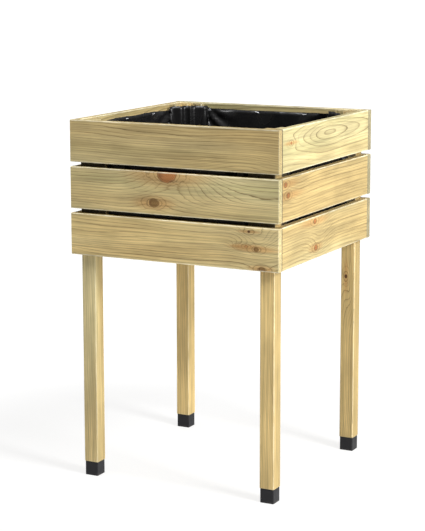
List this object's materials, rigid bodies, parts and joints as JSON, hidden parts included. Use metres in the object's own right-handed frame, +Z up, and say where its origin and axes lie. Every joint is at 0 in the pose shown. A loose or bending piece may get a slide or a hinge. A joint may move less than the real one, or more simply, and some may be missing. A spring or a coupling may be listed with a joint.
{
  "type": "raised planter on legs",
  "caption": "Square raised planter: a slatted pine box with a foil liner and a slatted floor, held up on square legs with moulded plastic feet.",
  "frame": {"origin": "on the floor, under the middle of the square box", "axes": "+Z up, -Y towards the front wall, +X towards the right wall"},
  "size_m": [0.5, 0.5, 0.8],
  "materials": {
    "pine_board": "planed pressure-treated pine, pale greenish yellow",
    "pine_leg": "planed pressure-treated pine, straight grain",
    "pine_batten": "planed pressure-treated pine",
    "pine_floor": "sawn pressure-treated pine",
    "foot_plastic": "black moulded plastic, fine satin texture",
    "liner_foil": "black foil, semi-gloss, creased",
    "staple_steel": "galvanised wire",
    "screw_steel": "zinc plated"
  },
  "bodies": {
    "root": {"front_board_bottom": "pine_board", "front_board_middle": "pine_board", "front_board_top": "pine_board", "right_board_bottom": "pine_board", "right_board_middle": "pine_board", "right_board_top": "pine_board", "back_board_bottom": "pine_board", "back_board_middle": "pine_board", "back_board_top": "pine_board", "left_board_bottom": "pine_board", "left_board_middle": "pine_board", "left_board_top": "pine_board", "leg_front_right": "pine_leg", "leg_back_right": "pine_leg", "leg_back_left": "pine_leg", "leg_front_left": "pine_leg", "foot_front_right": "foot_plastic", "foot_back_right": "foot_plastic", "foot_back_left": "foot_plastic", "foot_front_left": "foot_plastic", "front_batten_left": "pine_batten", "front_batten_right": "pine_batten", "right_batten_front": "pine_batten", "right_batten_back": "pine_batten", "back_batten_right": "pine_batten", "back_batten_left": "pine_batten", "left_batten_back": "pine_batten", "left_batten_front": "pine_batten", "floor_bearer_front": "pine_floor", "floor_bearer_back": "pine_floor", "floor_slat_left": "pine_floor", "floor_slat_mid_left": "pine_floor", "floor_slat_middle": "pine_floor", "floor_slat_mid_right": "pine_floor", "floor_slat_right": "pine_floor", "liner": "liner_foil", "liner_staples": "staple_steel", "batten_screws": "screw_steel", "leg_screws": "screw_steel", "bearer_screws": "screw_steel", "slat_screws": "screw_steel", "foot_screws": "screw_steel"}
  },
  "joints": []
}
